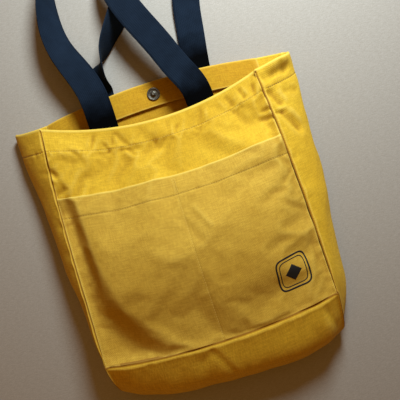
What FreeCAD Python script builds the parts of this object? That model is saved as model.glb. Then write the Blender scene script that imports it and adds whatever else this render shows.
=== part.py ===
import FreeCAD, Part
import math
import os

# Foldable canvas tote bag with a full-width front pocket, two webbing handles and a magnetic snap.
#
# The empty bag lies on its back panel. Lengths are millimetres, +X runs across the bag, +Y from the base towards
# the mouth, and +Z up. The origin is the centre of the back panel's outer face, on the surface the bag lies on.
# The front of the bag has slipped a little towards the base, so that the mouth gapes.
# Each sewn piece is a thin closed shell between two offset surfaces. The snap's pieces are turned and punched metal.

V = FreeCAD.Vector

# Cloth
CANVAS = 1.2
FACING = 0.8
PANEL_WIDTH = 305.0
PANEL_HEIGHT = 330.0
HEM = 33.0
SEAM_GAP = 2.2

# Front panel as it lies: seam line heights, and how far its edges run
FRONT_SHIFT = -7.0
FRONT_BASE_Y = -174.5
FRONT_RIM_Y = 136.5
FRONT_HALF_BASE = 156.0
FRONT_HALF_RIM = 145.5
FRONT_SKEW = 6.5
SEAM_SAG = 12.0
RIM_SAG = 26.0
SEAM_Z_BASE = 55.0
SEAM_Z_RIM = 40.0
MIDDLE_Z_BASE = 62.0
MIDDLE_Z_RIM = 35.0
MIDDLE_SWELL = 8.0
RIM_FLAT_FROM = 0.88

# Base panel: how far it pushes out beyond the front seam, and the control points of its rounded section
BASE_OUT = 228.0
BASE_ROUND = 24.0
BASE_SKEW = 5.0
BASE_TURN_Y = -226.0
BASE_TURN_Z_MIDDLE = 44.0
BASE_TURN_Z_SIDE = 38.0
BASE_KNEE_Z = 3.0
BASE_FLOOR_Y = -232.0

# Gussets: how far each stands out, at the base, halfway and at the rim
GUSSET_OUT = {"left": (14.0, 30.0, 43.0), "right": (21.0, 42.0, 50.0)}
GUSSET_RIM_LIFT = 7.0
GUSSET_BULGE = (0.8, 1.5, 0.9)

# Back panel
BACK_RIM_Y = PANEL_HEIGHT / 2 + 2
BACK_RIM_BOW = 14.0
BACK_HALF = PANEL_WIDTH / 2
BACK_SEAM_Y = -PANEL_HEIGHT / 2

# Front pocket
POCKET_TOP = 0.7045
POCKET_GAPE = 9.0
POCKET_FLAT = 1.6
POCKET_HEM = 25.0
POCKET_HEM_THICK = 0.35

# Layers of the hem, as depths below the outer face of the cloth
STRAP_DEPTH = 2.6
STRAP_THICK = 1.6
STRAP_WIDTH = 38.0
FACING_DEPTH = 4.2

# Magnetic snap, 18 mm across
SNAP_R = 9.0
SNAP_WALL = 0.5
SNAP_ROUND = 0.6
SNAP_HOLE_R = 3.2
SNAP_POST_R = 2.9
SNAP_POST_LENGTH = 2.5
SNAP_RIVET_R = 1.95
SNAP_RIVET_HOLE_R = 2.0
SNAP_DISC = 0.5
SNAP_DISC_R = SNAP_R - 0.6
SNAP_CASE_HEIGHT = 2.8
SNAP_FLANGE = 1.2
COVER_ROUND = 0.5
MAGNET_GAP = 0.12
SNAP_BELOW_RIM = 16.0
SNAP_AIR = 0.1
BACK_SNAP_X = 2.0
FRONT_SNAP_X = FRONT_SHIFT
PRONG_SPACING = 9.0
PRONG_WIDTH = 3.6
PRONG_THICK = 0.5
PRONG_LEG = 3.0
SLIT_PLAY = 0.25
WASHER_GAP = 0.15
WASHER_LENGTH = 20.0
WASHER_WIDTH = 10.0

# Handles: route points are (x, y, height of the centre line, turn of the webbing about its own length)
STRAP_AT = 0.455
FRONT_HANDLE_ROUTE = [
    (-73.0, 150.0, 32.6, 0),
    (-75.0, 172.0, 32.0, 3),
    (-85.0, 206.0, 30.0, 14),
    (-97.0, 241.0, 27.0, 34),
    (-100.5, 269.0, 24.5, 48),
    (-98.0, 300.0, 22.5, 62),
    (-90.0, 335.0, 20.8, 76),
    (-72.0, 366.0, 20.4, 86),
    (-44.0, 379.0, 20.4, 90),
    (-19.0, 364.0, 21.5, 80),
    (-8.0, 328.0, 29.0, 38),
    (-3.0, 288.0, 36.0, 6),
    (8.0, 252.0, 38.5, 0),
    (31.0, 200.0, 36.0, 0),
    (44.0, 168.0, 33.6, 0),
    (57.0, 138.0, 32.6, 0),
]
BACK_HANDLE_ROUTE = [
    (-68.2, 175.0, 3.6, -4),
    (-65.8, 182.0, 7.4, -16),
    (-61.0, 191.0, 14.0, -40),
    (-55.5, 204.0, 19.6, -70),
    (-46.0, 220.0, 20.4, -92),
    (-33.0, 238.0, 19.8, -106),
    (-14.0, 261.0, 17.8, -118),
    (8.0, 291.0, 17.0, -122),
    (27.0, 326.0, 19.4, -110),
    (38.0, 366.0, 20.4, -96),
    (58.0, 398.0, 20.4, -90),
    (90.0, 403.0, 20.4, -90),
    (112.0, 378.0, 20.4, -86),
    (112.0, 340.0, 18.6, -62),
    (99.0, 300.0, 8.6, -20),
    (85.0, 262.0, 4.6, -6),
    (78.0, 222.0, 3.5, -3),
    (73.0, 190.0, 3.0, 0),
]


def mix(a, b, t):
    """The value t of the way from a to b."""
    return a + (b - a) * t


def ease(t):
    """0 below 0, 1 above 1, and a smooth step between."""
    t = max(0.0, min(1.0, t))
    return t * t * (3 - 2 * t)


def spread(low, high, count):
    """Evenly spaced values from low to high."""
    return [mix(low, high, i / (count - 1)) for i in range(count)]


# ---------------------------------------------------------------- surfaces of the sewn bag


def front_face(u, v):
    """Outer face of the front: u from -1, left seam, to 1, right seam; v from 0, base seam, to 1, rim."""
    half = mix(FRONT_HALF_BASE, FRONT_HALF_RIM, v**3)
    sag = mix(SEAM_SAG, RIM_SAG, ease((v - 0.7) / 0.3))
    y = mix(FRONT_BASE_Y, FRONT_RIM_Y, v) - FRONT_SKEW * u * v - sag * (1 - u * u)
    seam_z = mix(SEAM_Z_BASE, SEAM_Z_RIM, v)
    t = min(v / RIM_FLAT_FROM, 1.0)
    swell = MIDDLE_SWELL * math.sin(math.pi * t) ** 2
    middle_z = mix(MIDDLE_Z_BASE, MIDDLE_Z_RIM, ease((t - 0.25) / 0.75)) + swell
    z = mix(middle_z, seam_z, u**4)
    return V(FRONT_SHIFT + u * half, y, z)


def quartic(points, t):
    """Point t along the Bezier curve of five control points."""
    weights = [math.comb(4, i) * t**i * (1 - t) ** (4 - i) for i in range(5)]
    total = V(0, 0, 0)
    for weight, point in zip(weights, points):
        total = total + point * weight
    return total


def base_profile(u):
    """Control points of the base's section at u across the bag, from the front seam round to the back seam.

    The middle one is placed so that the middle of the section reaches BASE_OUT below the bag's centre.
    """
    start = front_face(u, 0)
    end = V(BACK_HALF * u, BACK_SEAM_Y, 0)
    out = BASE_OUT + BASE_ROUND * (1 - u**4) + BASE_SKEW * u
    knee_y = -(out * 16 + start.y + end.y + 4 * BASE_TURN_Y + 4 * BASE_FLOOR_Y) / 6
    xs = [mix(start.x, end.x, i / 4) for i in range(5)]
    return [
        start,
        V(xs[1], BASE_TURN_Y, mix(BASE_TURN_Z_MIDDLE, BASE_TURN_Z_SIDE, u * u)),
        V(xs[2], knee_y, BASE_KNEE_Z),
        V(xs[3], BASE_FLOOR_Y, 0),
        end,
    ]


def base_face(u, b):
    """Outer face of the base panel: b from 0, front seam, to 1, back seam."""
    return quartic(base_profile(u), b)


def gusset_out(side, v):
    """How far the gusset stands out sideways at height v along the bag."""
    low, half_way, rim = GUSSET_OUT[side]
    rise = ease(v / 0.14)
    if v < 0.56:
        return rise * mix(low, half_way, ease(v / 0.56))
    return mix(half_way, rim, ease((v - 0.56) / 0.44))


def gusset_face(side, g, v):
    """Outer face of a gusset: g from 0, front seam, to 1, back seam; v from 0, base, to 1, rim."""
    sign = 1 if side == "right" else -1
    front = front_face(sign, v)
    back_y = mix(BACK_SEAM_Y, BACK_RIM_Y - BACK_RIM_BOW, v)
    back = V(sign * BACK_HALF, back_y, 0)
    corner = base_profile(sign)
    out = gusset_out(side, v)
    curl = 1 - ease(v / 0.3)
    controls = [front]
    for i, bulge in enumerate(GUSSET_BULGE, start=1):
        straight = front + (back - front) * (i / 4)
        straight_below = corner[0] + (corner[4] - corner[0]) * (i / 4)
        dip = corner[i] - straight_below
        lift = GUSSET_RIM_LIFT * ease((v - 0.6) / 0.4) if i == 2 else 0.0
        controls.append(
            V(
                straight.x + sign * out * bulge,
                straight.y + dip.y * curl + lift,
                max(0.0, straight.z + dip.z * mix(1.0, 0.75, v)),
            )
        )
    controls.append(back)
    return quartic(controls, g)


def normal_at(face, a, b):
    """Unit normal of a surface function, from central differences."""
    step = 1e-3
    along_a = face(a + step, b) - face(a - step, b)
    along_b = face(a, b + step) - face(a, b - step)
    return along_a.cross(along_b).normalize()


def below(face, a, b, depth, inward):
    """Point at depth under the outer face; inward is 1 or -1, whichever turns the normal into the bag."""
    return face(a, b) + normal_at(face, a, b) * (inward * depth)


# ---------------------------------------------------------------- thin closed shells


def skin(points):
    """Smooth surface through a grid of points."""
    surface = Part.BSplineSurface()
    surface.interpolate(points)
    return surface


def border(surface):
    """The four border curves of a surface, always in the same order and direction."""
    u_low, u_high, v_low, v_high = surface.bounds()
    curves = [surface.uIso(u_low), surface.uIso(u_high), surface.vIso(v_low), surface.vIso(v_high)]
    return [curve.toShape() for curve in curves]


def shell_between(outer, inner):
    """Closed solid between two grids of points with the same layout."""
    near, far = skin(outer), skin(inner)
    sides = [Part.makeRuledSurface(a, b, 1) for a, b in zip(border(near), border(far))]
    shell = Part.makeShell([near.toShape(), far.toShape()] + sides)
    shell.sewShape()
    solid = Part.Solid(shell)
    if solid.Volume < 0:
        solid.reverse()
    return solid


def cloth(face, a_range, b_range, depth, thick, inward, counts=(17, 21)):
    """A sewn piece: part of a surface, from depth to depth + thick under it. depth may be a function."""
    at = depth if callable(depth) else lambda a, b: depth
    outer, inner = [], []
    for a in spread(*a_range, counts[0]):
        row = spread(*b_range, counts[1])
        outer.append([below(face, a, b, at(a, b), inward) for b in row])
        inner.append([below(face, a, b, at(a, b) + thick, inward) for b in row])
    return shell_between(outer, inner)


# ---------------------------------------------------------------- bag pieces

FRONT_LENGTH = FRONT_RIM_Y - FRONT_BASE_Y
U_GAP = SEAM_GAP / FRONT_HALF_BASE / 2
V_GAP = SEAM_GAP / FRONT_LENGTH / 2
G_GAP = 0.024
HEM_FROM = 1 - HEM / FRONT_LENGTH


def pocket_gape(u, v):
    """How far the front panel lies below the bag's outer face, to leave room in the pocket's two halves."""
    across = 1 - (2 * abs(u) - 1) ** 6
    lengthwise = ease(v / POCKET_TOP)
    room = POCKET_FLAT + POCKET_GAPE * across * lengthwise
    return room * (1 - ease((v - POCKET_TOP - 0.02) / 0.18))


def front_panel():
    return cloth(
        front_face, (-1 + U_GAP, 1 - U_GAP), (V_GAP, 1), pocket_gape, CANVAS, -1, (33, 41)
    )


def front_pocket():
    """The pocket's cloth, and the hem turned in at its mouth."""
    sheet = cloth(front_face, (-1 + U_GAP, 1 - U_GAP), (V_GAP, POCKET_TOP), 0.0, CANVAS, -1)
    hem_from = POCKET_TOP - POCKET_HEM / FRONT_LENGTH
    hem = cloth(
        front_face,
        (-0.94, 0.94),
        (hem_from, POCKET_TOP - 0.003),
        CANVAS + 0.02,
        POCKET_HEM_THICK,
        -1,
        (13, 5),
    )
    return Part.makeCompound([sheet, hem])


def back_outline(top_inset, bottom_y, half):
    """Flat face with straight sides and a bowed top edge, on the plane z = 0."""
    top = BACK_RIM_Y - top_inset
    corner = top - BACK_RIM_BOW * (half / BACK_HALF) ** 2
    crown = Part.Arc(V(-half, corner, 0), V(0, top, 0), V(half, corner, 0)).toShape()
    low_right, low_left = V(half, bottom_y, 0), V(-half, bottom_y, 0)
    ends = crown.Vertexes
    wire = Part.Wire(
        [
            crown,
            Part.makeLine(ends[1].Point, low_right),
            Part.makeLine(low_right, low_left),
            Part.makeLine(low_left, ends[0].Point),
        ]
    )
    return Part.Face(wire)


def back_panel():
    half = BACK_HALF - SEAM_GAP / 2
    return back_outline(0, BACK_SEAM_Y + SEAM_GAP / 2, half).extrude(V(0, 0, CANVAS))


def back_rim_y(x):
    return BACK_RIM_Y - BACK_RIM_BOW * (x / BACK_HALF) ** 2


def facing_back():
    """Flat strip inside the back rim, with two slits for the snap's prongs."""
    strip = back_outline(0.3, back_rim_y(0) - HEM - BACK_RIM_BOW / 2, BACK_HALF - 6)
    strip = strip.extrude(V(0, 0, FACING))
    strip.translate(V(0, 0, FACING_DEPTH))
    return strip.cut(prong_slits(BACK_SNAP_X, BACK_SNAP_Y, FACING_DEPTH))


def facing_front():
    strip = cloth(
        front_face, (-0.97, 0.97), (HEM_FROM, 0.998), FACING_DEPTH, FACING, -1, (33, 7)
    )
    return strip.cut(prong_slits(FRONT_SNAP_X, FRONT_SNAP_Y, SNAP_CEILING))


def gusset(side):
    def face(g, v):
        return gusset_face(side, g, v)

    inward = -1 if side == "right" else 1
    return cloth(face, (G_GAP, 1 - G_GAP), (V_GAP * 2.2, 1), 0.0, CANVAS, inward, (21, 33))


def facing_gusset(side):
    def face(g, v):
        return gusset_face(side, g, v)

    inward = -1 if side == "right" else 1
    return cloth(
        face, (0.07, 0.90), (HEM_FROM, 0.998), CANVAS + 0.3, FACING, inward, (21, 7)
    )


def base_panel():
    edge = 1 - 1.6 * U_GAP
    return cloth(base_face, (-edge, edge), (0.02, 1 - 0.012), 0.0, CANVAS, -1, (25, 25))


# ---------------------------------------------------------------- magnetic snap


BACK_SNAP_Y = back_rim_y(BACK_SNAP_X) - SNAP_BELOW_RIM
FRONT_SNAP_Y = front_face(0, 1).y - SNAP_BELOW_RIM
SNAP_FLOOR = FACING_DEPTH + FACING
SNAP_CEILING = MIDDLE_Z_RIM - FACING_DEPTH - FACING


def prong_slits(x, y, low):
    """Two slots through a facing whose lower face is at height low."""
    slits = []
    for side in (-1, 1):
        width = PRONG_THICK + 2 * SLIT_PLAY
        length = PRONG_WIDTH + 2 * SLIT_PLAY
        corner = V(x + side * PRONG_SPACING / 2 - width / 2, y - length / 2, low - 3)
        slits.append(Part.makeBox(width, length, FACING + 6, corner))
    return Part.makeCompound(slits)


def ring(outer, inner, height):
    """Flat ring standing on z = 0; a disc when inner is 0."""
    disc = Part.makeCylinder(outer, height)
    return disc.cut(Part.makeCylinder(inner, height)) if inner else disc


def rounded(shape, radius, at_height):
    """The shape with its circular edges at a height rounded."""
    edges = [e for e in shape.Edges if abs(e.CenterOfMass.z - at_height) < 1e-6]
    edges = [e for e in edges if len(e.Vertexes) == 1]
    return shape.makeFillet(radius, edges)


def pronged_disc():
    """Disc with two legs, each bent outwards at its end to hold the washer. Legs point down from z = 0."""
    disc = ring(SNAP_DISC_R, 0, SNAP_DISC)
    legs = []
    for side in (-1, 1):
        x = side * PRONG_SPACING / 2
        low = -(FACING + 0.3 + SNAP_DISC + 0.1 + PRONG_THICK)
        legs.append(
            Part.makeBox(
                PRONG_THICK, PRONG_WIDTH, -low, V(x - PRONG_THICK / 2, -PRONG_WIDTH / 2, low)
            )
        )
        reach = V(x - PRONG_THICK / 2, -PRONG_WIDTH / 2, low)
        if side < 0:
            reach = V(x + PRONG_THICK / 2 - PRONG_LEG, -PRONG_WIDTH / 2, low)
        legs.append(Part.makeBox(PRONG_LEG, PRONG_WIDTH, PRONG_THICK, reach))
    return disc.fuse(legs).removeSplitter()


def washer():
    """Backing washer with rounded ends and two slots, its upper face just under the facing."""
    straight = WASHER_LENGTH - WASHER_WIDTH
    top = -(FACING + WASHER_GAP)
    body = Part.makeBox(
        straight, WASHER_WIDTH, SNAP_DISC, V(-straight / 2, -WASHER_WIDTH / 2, top - SNAP_DISC)
    )
    for side in (-1, 1):
        end = Part.makeCylinder(
            WASHER_WIDTH / 2, SNAP_DISC, V(side * straight / 2, 0, top - SNAP_DISC)
        )
        body = body.fuse(end)
    slots = prong_slits(0, 0, top - SNAP_DISC)
    return body.removeSplitter().cut(slots)


def socket_case():
    """Steel cup open at the bottom, with a tube down its middle that the post drops into."""
    cup = rounded(ring(SNAP_R, 0, SNAP_CASE_HEIGHT), SNAP_ROUND, SNAP_CASE_HEIGHT)
    hollow = ring(SNAP_R - SNAP_WALL, SNAP_HOLE_R + SNAP_WALL, SNAP_CASE_HEIGHT - SNAP_WALL)
    return cup.cut(hollow).cut(Part.makeCylinder(SNAP_HOLE_R, SNAP_CASE_HEIGHT))


def socket_magnet():
    height = SNAP_CASE_HEIGHT - SNAP_WALL - 2 * MAGNET_GAP
    magnet = ring(SNAP_R - SNAP_WALL - MAGNET_GAP, SNAP_HOLE_R + SNAP_WALL + MAGNET_GAP, height)
    magnet.translate(V(0, 0, MAGNET_GAP))
    return magnet


def post_cover():
    """Cover of the half with the post, with a hole for the post's rivet."""
    cover = rounded(ring(SNAP_R, 0, SNAP_FLANGE), COVER_ROUND, SNAP_FLANGE)
    return cover.cut(Part.makeCylinder(SNAP_RIVET_HOLE_R, SNAP_FLANGE))


def post():
    """Post that drops into the socket, riveted through the cover."""
    pin = rounded(ring(SNAP_POST_R, 0, SNAP_POST_LENGTH), SNAP_ROUND, SNAP_POST_LENGTH)
    pin.translate(V(0, 0, SNAP_FLANGE))
    rivet = Part.makeCylinder(SNAP_RIVET_R, SNAP_FLANGE)
    return pin.fuse(rivet).removeSplitter()


def placed(shape, x, y, z, faces_down=False):
    """The shape moved to a point, and turned over if it hangs from a ceiling."""
    copy = shape.copy()
    if faces_down:
        copy.rotate(V(0, 0, 0), V(1, 0, 0), 180)
    copy.translate(V(x, y, z))
    return copy


def snap_pieces():
    """Both halves of the snap, each stacked from its facing outwards: the post on the back, socket on the front."""
    backing = SNAP_AIR
    body = SNAP_AIR + SNAP_DISC + 0.02
    post_half = [
        ("snap_post_washer", washer(), backing),
        ("snap_post_prongs", pronged_disc(), backing),
        ("snap_post_cover", post_cover(), body),
        ("snap_post", post(), body),
    ]
    socket_half = [
        ("snap_socket_washer", washer(), backing),
        ("snap_socket_prongs", pronged_disc(), backing),
        ("snap_socket_magnet", socket_magnet(), body),
        ("snap_socket_case", socket_case(), body),
    ]
    pieces = {}
    for name, shape, height in post_half:
        pieces[name] = placed(shape, BACK_SNAP_X, BACK_SNAP_Y, SNAP_FLOOR + height)
    for name, shape, height in socket_half:
        low = SNAP_CEILING - height
        pieces[name] = placed(shape, FRONT_SNAP_X, FRONT_SNAP_Y, low, faces_down=True)
    return pieces


# ---------------------------------------------------------------- handles


def smooth_route(points):
    """A curve function through route points, each (x, y, z, turn), for t from 0 to 1."""
    curve = Part.BSplineCurve()
    places = [V(*p[:3]) for p in points]
    curve.interpolate(places)
    knots = [curve.parameter(p) for p in places]
    length = curve.length()

    def at(t):
        parameter = curve.parameterAtDistance(t * length, curve.FirstParameter)
        i = max(0, min(len(knots) - 2, sum(k <= parameter for k in knots) - 1))
        share = ease((parameter - knots[i]) / (knots[i + 1] - knots[i]))
        turn = math.radians(mix(points[i][3], points[i + 1][3], share))
        return curve.value(parameter), V(*curve.tangent(parameter)[0]), turn

    return at, length


def ribbon(points, stations):
    """Webbing of constant width and thickness along a route."""
    at, length = smooth_route(points)
    top, bottom = [], []
    for t in spread(0, 1, stations):
        place, along, turn = at(t)
        level = V(0, 0, 1).cross(along).normalize()
        up = along.cross(level).normalize()
        across = level * math.cos(turn) + up * math.sin(turn)
        face = up * math.cos(turn) - level * math.sin(turn)
        edge = STRAP_WIDTH / 2
        sides = [place + across * (edge * s) for s in (-1, 0, 1)]
        top.append([p + face * (STRAP_THICK / 2) for p in sides])
        bottom.append([p - face * (STRAP_THICK / 2) for p in sides])
    return shell_between(top, bottom), length


def sewn_end(x, rim_y, z):
    """Route points of the end held inside a hem, from its cut end to just outside the rim."""
    return [(x, rim_y - HEM + 5, z, 0), (x, rim_y - HEM / 2, z, 0), (x, rim_y + 4, z, 0)]


def front_handle():
    left, right = (front_face(side * STRAP_AT, 1) for side in (-1, 1))
    start = sewn_end(left.x, left.y, left.z - STRAP_DEPTH)
    end = sewn_end(right.x, right.y, right.z - STRAP_DEPTH)
    return ribbon(start + FRONT_HANDLE_ROUTE + end[::-1], 72)


def back_handle():
    x = STRAP_AT * BACK_HALF
    ends = sewn_end(x, back_rim_y(x), STRAP_DEPTH)
    start = [(-p[0], p[1], p[2], p[3]) for p in ends]
    return ribbon(start + BACK_HANDLE_ROUTE + ends[::-1], 72)


# ---------------------------------------------------------------- all nodes


def build():
    nodes = {
        "front_panel": front_panel(),
        "front_pocket": front_pocket(),
        "back_panel": back_panel(),
        "base_panel": base_panel(),
        "left_gusset": gusset("left"),
        "right_gusset": gusset("right"),
        "facing_front": facing_front(),
        "facing_back": facing_back(),
        "facing_left": facing_gusset("left"),
        "facing_right": facing_gusset("right"),
    }
    nodes.update(snap_pieces())
    for name, made in (("front_handle", front_handle()), ("back_handle", back_handle())):
        nodes[name], length = made
        print(f"{name}: {length:.0f} mm of webbing")
    return nodes


def main():
    os.makedirs("parts", exist_ok=True)
    for name, shape in build().items():
        for solid in shape.Solids:
            if not solid.isValid() or solid.Volume <= 0:
                print(f"{name}: a solid is not valid")
        shape.exportStep(f"parts/{name}.step")


main()
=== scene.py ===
from functools import partial
import math

import bpy
import numpy as np
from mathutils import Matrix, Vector

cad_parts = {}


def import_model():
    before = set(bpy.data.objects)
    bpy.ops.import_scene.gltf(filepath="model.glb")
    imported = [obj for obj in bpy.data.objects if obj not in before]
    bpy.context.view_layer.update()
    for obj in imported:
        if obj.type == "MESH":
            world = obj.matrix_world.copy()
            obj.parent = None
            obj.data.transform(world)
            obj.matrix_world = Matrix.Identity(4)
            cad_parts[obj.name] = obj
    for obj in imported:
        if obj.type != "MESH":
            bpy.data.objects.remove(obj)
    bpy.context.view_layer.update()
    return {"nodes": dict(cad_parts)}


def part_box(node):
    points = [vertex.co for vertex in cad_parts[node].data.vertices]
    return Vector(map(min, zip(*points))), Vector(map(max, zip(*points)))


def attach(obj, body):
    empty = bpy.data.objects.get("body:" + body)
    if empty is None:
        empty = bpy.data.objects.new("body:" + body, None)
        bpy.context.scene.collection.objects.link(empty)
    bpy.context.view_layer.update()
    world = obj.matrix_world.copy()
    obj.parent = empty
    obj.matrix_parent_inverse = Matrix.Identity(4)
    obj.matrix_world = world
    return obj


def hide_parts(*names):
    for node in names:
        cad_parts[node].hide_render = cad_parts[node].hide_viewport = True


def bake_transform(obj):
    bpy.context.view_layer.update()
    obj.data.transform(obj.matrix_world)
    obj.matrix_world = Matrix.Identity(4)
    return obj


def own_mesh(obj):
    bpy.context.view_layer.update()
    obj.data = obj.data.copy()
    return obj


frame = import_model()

# A foldable canvas tote bag that lies on its back. Lengths in the formulas are millimetres, and meshes
# are in metres. +X runs across the bag, +Y from its base to its mouth, and +Z up out of its front.

MM = 0.001

# Cloth, as in the CAD
PANEL_HEIGHT = 330.0
CANVAS = 1.2
GUSSET_GIRTH, BASE_GIRTH = 118.0, 112.0
RIM_RADIUS = 2.5
FRONT_SHIFT = -7.0
FRONT_BASE_Y, FRONT_RIM_Y = -174.5, 136.5
HALF_BASE, HALF_RIM = 156.0, 145.5
FRONT_SKEW = 6.5
SEAM_SAG, RIM_SAG = 12.0, 26.0
SEAM_Z_BASE, SEAM_Z_RIM = 55.0, 40.0
MIDDLE_Z_BASE, MIDDLE_Z_RIM = 62.0, 35.0
MIDDLE_SWELL = 8.0
RIM_FLAT_FROM = 0.88
BASE_OUT, BASE_ROUND, BASE_SKEW = 228.0, 24.0, 5.0
BASE_TURN_Y, BASE_KNEE_Z, BASE_FLOOR_Y = -226.0, (44.0, 38.0), -232.0
GUSSET_OUT = {"left": (14.0, 30.0, 43.0), "right": (21.0, 42.0, 50.0)}
SIGN = {"left": -1.0, "right": 1.0}
GUSSET_BULGE = {1: 0.8, 2: 1.5, 3: 0.9}
GUSSET_KNEE = 0.56
GUSSET_RIM_LIFT = 7.0
BACK_RIM_Y, BACK_RIM_BOW = 167.0, 14.0
BACK_HALF = 152.5
BACK_SEAM_Y = -165.0
LENGTH = FRONT_RIM_Y - FRONT_BASE_Y  # of the front and the gussets

# Hems: depth of the turned cloth, and how far their stitching runs below the rim on either side
HEM = 33.0
HEM_LINE = {"left": 28.5, "right": 27.0}

# Pocket: its top, its thickness, its hem, the roll of its edge and how far it stands off
POCKET_SHARE = 0.7045
POCKET_TOP = POCKET_SHARE * LENGTH
POCKET_CLOTH, POCKET_HEM, POCKET_ROLL, POCKET_PROUD = 0.9, 25.0, 1.3, 3.2

# Seams: a groove with small lips, along the direction in which its two panels are drawn together
PINCH_DEPTH, PINCH_WIDTH, PINCH_LIP, LIP_AT, PINCH_FADE = 2.6, 1.0, 0.12, 2.4, 7.0
SIDE_LEAN = {"left": (-0.6, 0, 0.8), "right": (0.6, 0, 0.8)}
BASE_LEAN = (0, -0.6, 0.8)
FAR = 1000.0

# Folds and dents: the front's empty left side, its rolled rim, and the gussets' tips
SINK_BASE, SINK_RIM = 11.0, 8.5
FILLED_NEAR, FILLED_SPREAD, FILLED_FADE = 24.0, 104.0, 64.0
RIM_SOFT, RIM_DROP, RIM_SWELL = 34.0, 2.0, 4.5
STITCH_DITCH = 0.45
GUSSET_TIP = {"left": 2.0, "right": 3.0}
GUSSET_RIM_TILT = 10.0

# Stretches of seam or hem that the gathers cover, to either side of their middle
SPAN_ACROSS, SPAN_ALONG, SPAN_GIRTH = 160, 330, 120

# Printed badge, centre from the pocket's middle and from the base seam
BADGE_X, BADGE_Y = 108.5, 52.0
BADGE_HALF, BADGE_STROKE, BADGE_DIAMOND = 22.0, 2.2, 11.0

# Creases that the simulation doesn't give: x and y of the start and of the end, width, and height, which
# is negative for a valley. x is measured from the middle, or a gusset's front seam, and y from the seam
# below, or, on the base, from the front seam.
FRONT_CREASES = [
    (-158, 264, -138, 246, 4, -2.8),
    (-156, 250, -140, 238, 3, 1),
    (-158, 220, -132, 236, 4.5, -3),
    (-40, 270, -80, 218, 9, -2.6),
    (-10, 298, -6, 274, 3, -1.3),
    (-74, 296, -68, 272, 2.6, -1.2),
    (-46, 282, -36, 262, 3, -1.4),
    (30, 300, 14, 270, 4, -1.5),
    (98, 306, 106, 282, 3.6, -1.8),
    (117, 307, 124, 284, 3.2, -2.2),
    (138, 302, 134, 278, 3, -2),
    (126, 252, 158, 244, 3.2, -2.6),
    (132, 262, 158, 256, 2.6, -2),
    (-10, 176, 18, 118, 6, -1.6),
    (12, 180, 34, 136, 5, 1.5),
    (-70, 142, -8, 106, 8, 1.3),
    (10, 74, 60, 80, 9, -1.2),
]
GUSSET_CREASES = [
    (3, 285, 15, 250, 4.4, -4.2),
    (13, 280, 20, 252, 3.5, 1.2),
    (6, 254, 30, 206, 5, -4.4),
    (16, 252, 34, 220, 4, 1.3),
    (0, 251, 16, 244, 2.6, -2.8),
    (14, 274, 46, 262, 5, -1.6),
    (2, 297, 44, 299, 6, -3.8),
    (20, 312, 32, 288, 4, -1.6),
]
BASE_CREASES = [
    (-24, -2, 6, 34, 3.5, -0.8),
    (-16, -4, 16, 36, 4.5, 0.6),
    (-44, 14, -12, 4, 4, -1.2),
    (105, 8, 152, 22, 7, 1.2),
    (132, 0, 148, 34, 4, -1.8),
]

# Simulated folds: the sheet's cell, surplus and stiffness, how firmly its inside is held to its place,
# the frames it takes to settle, and how much of the folds' height is used
FOLD_CELL, FOLD_SLACK, FOLD_BENDING, FOLD_HOLD, FOLD_FRAMES = 3.6, 0.018, 1.0, 0.03, 24
FOLD_COLUMNS, FOLD_ROWS = int(2 * HALF_BASE / FOLD_CELL), int(LENGTH / FOLD_CELL)
FOLD_SHARE = 1.25

# Snap's visible half, as (radius, height): a dished cover round a domed post
SNAP_RADIUS = 9.0
COVER_PROFILE = [(8.6, 0.0), (9.0, 0.15), (9.0, 0.9), (8.4, 1.25), (7.0, 1.2), (6.5, 0.55)]
COVER_PROFILE += [(4.2, 0.5), (3.6, 0.95), (2.9, 1.0)]
POST_PROFILE = [(2.9, 0.9), (2.9, 2.9), (2.6, 3.45), (1.7, 3.7), (0.75, 3.6), (0.0001, 3.45)]

# Snap's hidden half: the cloth over it is kept this high, to this distance round its place below the rim
SNAP_CLEARANCE, SNAP_REACH, SNAP_BELOW_RIM = 1.0, 16.0, 16.0

# Camera, in metres, and the paper's grain, which runs across its view
CAMERA_PLACE = (0.018, -0.008, 0.600)
CAMERA_TURN = math.radians(-18.0)
SENSOR, CAMERA_HEIGHT, VIEW_WIDTH = 36.0, 600.0, 558.0
GRAIN_TURN = (0.0, 0.0, -CAMERA_TURN)

# Floor
FLOOR_HALF, FLOOR_GAP = 2500.0, 0.3

# Painted light on the cloth's colour: a highlight on a ridge, shade in a valley, a highlight on a folded
# edge and shade in a seam
PAINTED_RIDGE_HIGHLIGHT, PAINTED_VALLEY_SHADE = (0.95, 0.70, 0.14, 1), (0.24, 0.075, 0.002, 1)
PAINTED_FOLD_HIGHLIGHT, PAINTED_SEAM_SHADE = (0.96, 0.76, 0.16, 1), (0.22, 0.055, 0.001, 1)

# Weave, in metres: the canvas's ribs and yarns, and the webbing's columns and ribs
TWILL_PITCH, YARN_PITCH = 0.0019, 0.0011
COLUMN_PITCH, CHEVRON_PITCH = 0.0024, 0.0021

# Handles: webbing, sewn at this share of the half width. Routes are centre points with a turn in degrees.
STRAP_WIDTH, STRAP_THICK = 38.0, 1.8
STRAP_AT, FRONT_STRAP_DEPTH, BACK_STRAP_Z = 0.455, 2.9, 2.6
# The last of these cuts short the back handle's painted end shade at its start
STRAP_WAVE, STRAP_WAVE_LENGTH, STRAP_BELOW_RIM, BACK_HANDLE_SHADE_CUT = 0.03, 31.0, 3.0, 60.0
FRONT_HANDLE_ROUTE = [
    (-73, 150, 32.6, 0),
    (-75, 172, 32, 3),
    (-85, 206, 30, 14),
    (-97, 241, 27, 34),
    (-100.5, 269, 24.5, 48),
    (-98, 300, 22.5, 62),
    (-90, 335, 20.8, 76),
    (-72, 366, 20.4, 86),
    (-44, 379, 20.4, 90),
    (-19, 364, 21.5, 80),
    (-8, 328, 29, 38),
    (-3, 288, 36, 6),
    (8, 252, 38.5, 0),
    (31, 200, 36, 0),
    (44, 168, 33.6, 0),
    (57, 138, 32.6, 0),
]
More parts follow.
